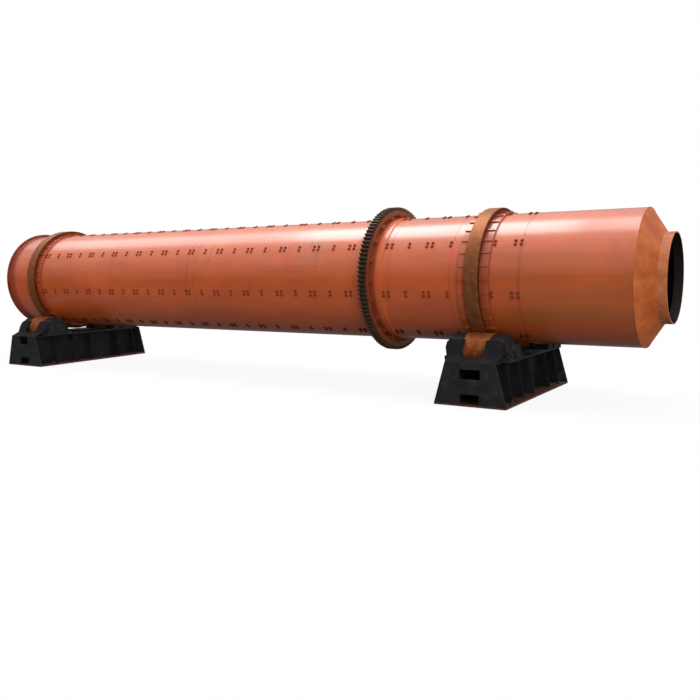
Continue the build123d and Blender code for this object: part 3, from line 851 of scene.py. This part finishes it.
def gear_brackets(material, bolts):
    """Blocks beside the gear rim at its lugs, each with a bolt on its end face."""
    low, high = node_box("girth_gear")
    seat_radius = SHELL_RADIUS + GEAR_SEAT_THICKNESS
    blocks = bmesh.new()
    heads = bmesh.new()
    for index in range(BRACKETS):
        angle = 90 + index * 360 / BRACKETS
        for face, side in ((low.x, -1), (high.x, 1)):
            middle = face + side * BRACKET_LENGTH / 2
            place = on_shell(middle, angle, seat_radius - SINK)
            add_box(blocks, place, BRACKET_LENGTH, BRACKET_WIDTH, BRACKET_HEIGHT)
            end = on_shell(middle, angle, seat_radius + BRACKET_HEIGHT / 2)
            point = end.translation + Vector((side * BRACKET_LENGTH / 2, 0, 0))
            add_bolt(heads, facing(point, (side, 0, 0)), BRACKET_BOLT_RADIUS, BRACKET_BOLT_HEIGHT)
    make_object("gear_brackets", blocks, material, "drum")
    make_object("gear_bracket_bolts", heads, bolts, "drum")


def add_cap_bolts(mesh, x, outward, middle):
    """Adds the ring of bolts on one bearing end cover."""
    for index in range(CAP_BOLTS):
        turn = 2 * math.pi * (index + 0.5) / CAP_BOLTS
        y = middle.y + CAP_BOLT_CIRCLE * math.cos(turn)
        z = middle.z + CAP_BOLT_CIRCLE * math.sin(turn)
        place = facing((x, y, z), (outward, 0, 0))
        add_bolt(mesh, place, CAP_BOLT_RADIUS, CAP_BOLT_HEIGHT)


def base_fixings(station, material):
    """Foot bolts and cover bolts of the bearing housings, and the anchor bolts of a base."""
    mesh = bmesh.new()
    deck = node_box(f"{station}_top_plate")[1].z - TOP_LIP_HEIGHT
    plate_low, plate_high = node_box(f"{station}_bottom_plate")
    caps = node_box(f"{station}_bearing_caps")
    centre = (plate_low.x + plate_high.x) / 2
    for side in ("near", "far"):
        low, high = node_box(f"{station}_{side}_roller")
        middle = (low + high) / 2
        for shift in FOOT_BOLT_PLACES:
            for reach in (-FOOT_BOLT_REACH, FOOT_BOLT_REACH):
                point = (middle.x + shift, middle.y + reach, deck + HOUSING_FOOT_HEIGHT)
                place = Matrix.Translation(point)
                add_bolt(mesh, place, FOOT_BOLT_RADIUS, FOOT_BOLT_HEIGHT, FOOT_WASHER_RADIUS)
        for x, outward in ((caps[0].x, -1), (caps[1].x, 1)):
            add_cap_bolts(mesh, x, outward, middle)
    for side_x in (-1, 1):
        for side_y in (-1, 1):
            point = (centre + side_x * ANCHOR_REACH_X, side_y * ANCHOR_REACH_Y, plate_high.z)
            place = Matrix.Translation(point)
            add_bolt(mesh, place, ANCHOR_NUT_RADIUS, ANCHOR_NUT_HEIGHT, ANCHOR_WASHER_RADIUS)
            add_prism(mesh, place, ANCHOR_STUD_RADIUS, ANCHOR_STUD_LENGTH, ROUND_SIDES)
    make_object(f"{station}_fixings", mesh, material, "supports")


def guard_profile(station):
    """Y and Z of a guard's foot, fold and top on the far side, and of the corners behind it."""
    wall_high = node_box(f"{station}_end_walls")[1]
    foot = Vector((wall_high.y - GUARD_SEAT_INSET, wall_high.z + GUARD_SEAT_RISE))
    low, high = node_box(f"{station}_far_roller")
    axis = Vector(((low.y + high.y) / 2, (low.z + high.z) / 2))
    fold = foot + Vector((-GUARD_FOLD_REACH, GUARD_FOLD_RISE))
    reach = axis - fold
    rake = math.atan2(reach.y, -reach.x) + math.asin(GUARD_CLEAR_RADIUS / reach.length)
    run = math.sqrt(reach.length ** 2 - GUARD_CLEAR_RADIUS ** 2)
    top = fold + run * Vector((-math.cos(rake), math.sin(rake)))
    plate_top = node_box(f"{station}_top_plate")[1].z
    hidden = (
        Vector((axis.x + GUARD_BACK_REACH, axis.y)),
        Vector((axis.x + GUARD_BACK_REACH, plate_top + GUARD_BACK_RISE)),
        Vector((fold.x - GUARD_HEEL_REACH, plate_top + GUARD_HEEL_RISE)),
    )
    return foot, fold, top, hidden


def add_plate(mesh, points, offset):
    """Adds a plate: a polygon and its copy shifted by an offset, joined at the edges."""
    front = [mesh.verts.new(point) for point in points]
    back = [mesh.verts.new(Vector(point) + Vector(offset)) for point in points]
    mesh.faces.new(front)
    mesh.faces.new(list(reversed(back)))
    join_rings(mesh, back, front)


def guard_halves(left, left_fold, right, housing_left, notch_left, notch_right):
    """Outlines of a guard's sloping plate on either side of the notch, as places and shares."""
    left_half = (
        (left_fold, 0.0),
        (notch_left + NOTCH_ROUND, 0.0),
        (notch_left + NOTCH_BEND, NOTCH_BEND_SHARE),
        (notch_left, NOTCH_SIDE_SHARE),
        (notch_left, 1.0),
        (housing_left + GUARD_CORNER, 1.0),
        (housing_left, GUARD_CORNER_SHARE),
        (housing_left, GUARD_SLOPE_SHARE),
    )
    right_half = (
        (right, 0.0),
        (right, GUARD_CORNER_SHARE),
        (right - GUARD_CORNER, 1.0),
        (notch_right, 1.0),
        (notch_right, NOTCH_SIDE_SHARE),
        (notch_right - NOTCH_BEND, NOTCH_BEND_SHARE),
        (notch_right - NOTCH_ROUND, 0.0),
    )
    return left_half, right_half


def bearing_guards(station, material):
    """Folded guard plates from the end walls up to the bearing housings, open at the rollers."""
    mesh = bmesh.new()
    foot, fold, top, hidden = guard_profile(station)
    wall_low, wall_high = node_box(f"{station}_end_walls")
    housing_left = node_box(f"{station}_bearing_housings")[0].x
    roller_low, roller_high = node_box(f"{station}_far_roller")
    centre = (wall_low.x + wall_high.x) / 2
    left, right = centre - WALL_TOP_HALF_WIDTH, centre + WALL_TOP_HALF_WIDTH
    left_fold = (left + housing_left) / 2
    notch_left, notch_right = roller_low.x + NOTCH_INSET, roller_high.x - NOTCH_INSET
    halves = guard_halves(left, left_fold, right, housing_left, notch_left, notch_right)
    for side in (-1, 1):
        inward = (0, -side * GUARD_THICKNESS * GUARD_INWARD_SHARE, -GUARD_THICKNESS)
        apron = (
            (left, side * foot.x, foot.y),
            (right, side * foot.x, foot.y),
            (right, side * fold.x, fold.y),
            (left_fold, side * fold.x, fold.y),
        )
        add_plate(mesh, apron, inward)
        for outline in halves:
            slope = [(x, fold + (top - fold) * share) for x, share in outline]
            add_plate(mesh, [(x, side * corner.x, corner.y) for x, corner in slope], inward)
        for x, corners in ((left_fold, (fold, top, *hidden)), (right, (foot, fold, top, *hidden))):
            cheek = [(x, side * corner.x, corner.y) for corner in corners]
            add_plate(mesh, cheek, (GUARD_THICKNESS, 0, 0))
    bmesh.ops.recalc_face_normals(mesh, faces=mesh.faces)
    make_object(f"{station}_bearing_guards", mesh, material, "supports")


def make_camera():
    """Camera at the photograph's place and angle."""
    azimuth = math.radians(CAMERA_AZIMUTH)
    elevation = math.radians(CAMERA_ELEVATION)
    roll = math.radians(CAMERA_ROLL)
    forward = Vector((
        -math.sin(azimuth) * math.cos(elevation),
        math.cos(azimuth) * math.cos(elevation),
        math.sin(elevation),
    ))
    level = Vector((math.cos(azimuth), math.sin(azimuth), 0))
    upright = level.cross(forward)
    right = math.cos(roll) * level + math.sin(roll) * upright
    up = -math.sin(roll) * level + math.cos(roll) * upright
    data = bpy.data.cameras.new("camera")
    data.lens = CAMERA_LENS
    data.sensor_width = SENSOR_WIDTH
    data.clip_end = VIEW_DEPTH
    camera = bpy.data.objects.new("camera", data)
    matrix = Matrix((right, up, -forward)).transposed().to_4x4()
    matrix.translation = Vector(CAMERA_PLACE)
    camera.matrix_world = matrix
    bpy.context.scene.collection.objects.link(camera)
    bpy.context.scene.camera = camera


def floor_material():
    """Pale floor, thin enough to keep only a faint shadow, that fades out far away."""
    n = Nodes("floor")
    diffuse = n.new("ShaderNodeBsdfDiffuse")
    diffuse.inputs["Color"].default_value = FLOOR_COLOUR
    clear = n.new("ShaderNodeBsdfTransparent")
    away = n.new("ShaderNodeVectorMath", operation="LENGTH")
    n.link(n.place, away.inputs[0])
    fade = n.new("ShaderNodeMapRange")
    n.link(away.outputs["Value"], fade.inputs["Value"])
    fade.inputs["From Min"].default_value = FLOOR_FADE_START
    fade.inputs["From Max"].default_value = FLOOR_FADE_END
    fade.inputs["To Min"].default_value = FLOOR_CLEARNESS
    mix = n.new("ShaderNodeMixShader")
    n.link(fade.outputs["Result"], mix.inputs[0])
    n.link(diffuse.outputs[0], mix.inputs[1])
    n.link(clear.outputs[0], mix.inputs[2])
    n.link(mix.outputs[0], n.output.inputs["Surface"])
    return n.material


def make_floor():
    """Square of floor just under the bases."""
    mesh = bmesh.new()
    bmesh.ops.create_grid(mesh, x_segments=1, y_segments=1, size=FLOOR_HALF_SIZE)
    data = bpy.data.meshes.new("floor")
    mesh.to_mesh(data)
    mesh.free()
    data.materials.append(floor_material())
    floor = bpy.data.objects.new("floor", data)
    floor.location.z = -FLOOR_DROP
    bpy.context.scene.collection.objects.link(floor)


def make_overhead_lamp(name, x, length, power):
    """Large lamp above the drum that shines straight down."""
    data = bpy.data.lights.new(name, "AREA")
    data.shape = "RECTANGLE"
    data.size = length
    data.size_y = OVERHEAD_WIDTH
    data.energy = power
    lamp = bpy.data.objects.new(name, data)
    lamp.location = (x, OVERHEAD_Y, OVERHEAD_HEIGHT)
    lamp.rotation_mode = "QUATERNION"
    lamp.rotation_quaternion = Vector((0, 0, -1)).to_track_quat("-Z", "Y")
    bpy.context.scene.collection.objects.link(lamp)


def make_soft_light(name, source, strength):
    """Wide, even light from the side on which a point lies, left out of reflections."""
    data = bpy.data.lights.new(name, "SUN")
    data.energy = strength
    data.angle = math.radians(SOFT_ANGLE)
    lamp = bpy.data.objects.new(name, data)
    lamp.rotation_mode = "QUATERNION"
    lamp.rotation_quaternion = Vector(source).to_track_quat("Z", "Y")
    lamp.visible_glossy = False
    bpy.context.scene.collection.objects.link(lamp)


def make_world():
    """World that brightens from the horizon up, and is plain white behind the object."""
    world = bpy.data.worlds.new("world")
    bpy.context.scene.world = world
    world.use_nodes = True
    tree = world.node_tree
    tree.nodes.clear()
    output = tree.nodes.new("ShaderNodeOutputWorld")
    place = tree.nodes.new("ShaderNodeTexCoord")
    split = tree.nodes.new("ShaderNodeSeparateXYZ")
    tree.links.new(place.outputs["Generated"], split.inputs[0])
    height = tree.nodes.new("ShaderNodeMapRange")
    height.inputs["To Min"].default_value = GROUND_LIGHT
    height.inputs["To Max"].default_value = SKY_LIGHT
    tree.links.new(split.outputs["Z"], height.inputs["Value"])
    ambient = tree.nodes.new("ShaderNodeBackground")
    ambient.inputs["Color"].default_value = WHITE
    tree.links.new(height.outputs["Result"], ambient.inputs["Strength"])
    backdrop = tree.nodes.new("ShaderNodeBackground")
    backdrop.inputs["Color"].default_value = WHITE
    path = tree.nodes.new("ShaderNodeLightPath")
    mix = tree.nodes.new("ShaderNodeMixShader")
    tree.links.new(path.outputs["Is Camera Ray"], mix.inputs[0])
    tree.links.new(ambient.outputs[0], mix.inputs[1])
    tree.links.new(backdrop.outputs[0], mix.inputs[2])
    tree.links.new(mix.outputs[0], output.inputs["Surface"])


def make_light():
    """Studio light: lamps overhead, soft lights around, and the world."""
    for name, x, length, power in OVERHEAD_LAMPS:
        make_overhead_lamp(name, x, length, power)
    for name, source, strength in SOFT_LIGHTS:
        make_soft_light(name, source, strength)
    make_world()


make_camera()
finishes = {
    "shell": shell_paint(),
    "flange": flange_paint(),
    "cone": rusty_primer("cone_primer", CONE_SHADES),
    "neck": rusty_primer("neck_primer", NECK_SHADES),
    "bare": bare_steel(),
    "gear": gear_steel(),
    "ring": ring_steel(),
    "roller": roller_steel(),
    "base": base_paint(),
    "grime_and_shade": grime_and_shade_paint(),
    "plate": plate_rust(),
    "bolt": bolt_steel(),
    "fixing": fixing_steel(),
}
finish_nodes(finishes)
lifter_bolts(finishes["bolt"])
flange_bolts(finishes["bolt"])
weld_beads(finishes["shell"])
gear_brackets(finishes["shell"], finishes["bolt"])
for station in ("left", "right"):
    base_fixings(station, finishes["fixing"])
    bearing_guards(station, finishes["grime_and_shade"])
make_floor()
make_light()
bpy.context.scene.view_settings.view_transform = "Standard"
